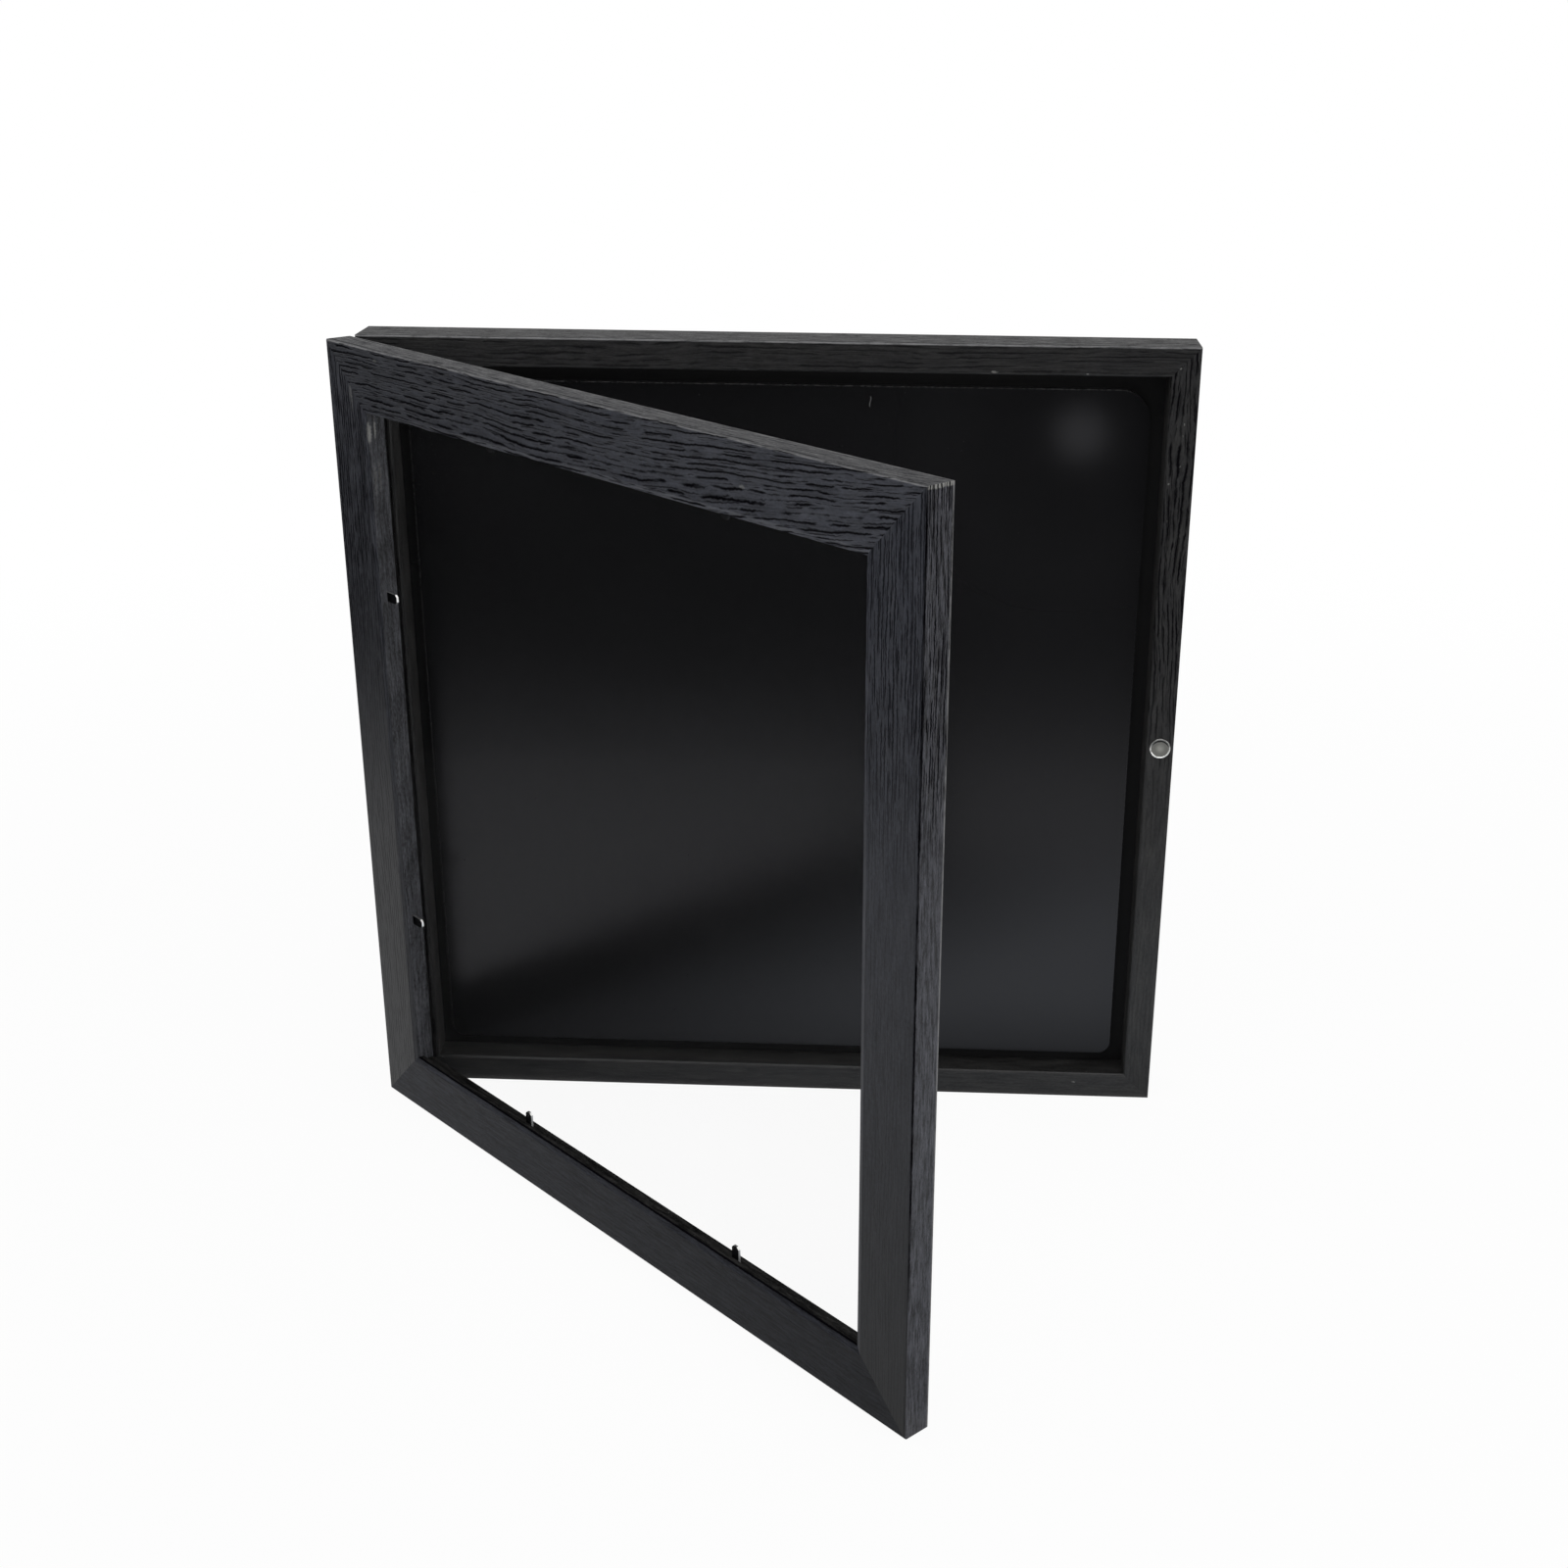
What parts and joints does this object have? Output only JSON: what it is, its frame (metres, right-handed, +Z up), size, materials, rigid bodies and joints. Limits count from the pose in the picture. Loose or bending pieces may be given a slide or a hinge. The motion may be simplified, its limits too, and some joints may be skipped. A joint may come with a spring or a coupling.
{
  "type": "shadow box frame",
  "caption": "Square shadow box frame with mitred wood-grain rails, a black display board and a glazed front door on side hinges with a magnet catch.",
  "frame": {"origin": "middle of the underside of the box's bottom rail, half way through the box's depth", "axes": "+X to the right as seen from the front, +Y towards the wall, +Z up; the door opens to -Y"},
  "size_m": [0.3386, 0.265, 0.3302],
  "materials": {
    "rail_film": "satin wood-grain film with embossed pores",
    "back_board": "matt black painted fibreboard",
    "display_board": "smooth semi-gloss black face",
    "pane": "clear low-reflection sheet",
    "point_steel": "blackened steel, bright at cut ends",
    "nail_steel": "zinc plated",
    "hinge_steel": "black lacquered steel, satin",
    "screw_steel": "black lacquered steel, rubbed at the heads",
    "strike_steel": "nickel plated, satin",
    "magnet_shell": "bright nickel",
    "magnet_core": "matt grey sintered magnet",
    "hanger_steel": "zinc plated"
  },
  "bodies": {
    "box": {"box_rail_top": "rail_film", "box_rail_bottom": "rail_film", "box_rail_left": "rail_film", "box_rail_right": "rail_film", "back_panel": "back_board", "display_board": "display_board", "back_panel_points": "point_steel", "box_corner_nails": "nail_steel", "magnet_cup": "magnet_shell", "magnet_disc": "magnet_core", "sawtooth_hanger": "hanger_steel", "lower_hinge_box_leaf": "hinge_steel", "upper_hinge_box_leaf": "hinge_steel", "lower_hinge_pin": "hinge_steel", "upper_hinge_pin": "hinge_steel", "hinge_box_screws": "screw_steel"},
    "door": {"door_rail_top": "rail_film", "door_rail_bottom": "rail_film", "door_rail_left": "rail_film", "door_rail_right": "rail_film", "glazing_panel": "pane", "glazing_points": "point_steel", "door_corner_nails": "nail_steel", "strike_plate": "strike_steel", "strike_screw": "strike_steel", "lower_hinge_door_leaf": "hinge_steel", "upper_hinge_door_leaf": "hinge_steel", "hinge_door_screws": "screw_steel"}
  },
  "joints": [
    {"name": "door_swing", "type": "hinge", "parent": "box", "child": "door", "pos_m": [-0.1667, -0.0121, 0.1651], "axis": [0, 0, -1], "range_deg": [-44.7, 135.3]}
  ]
}
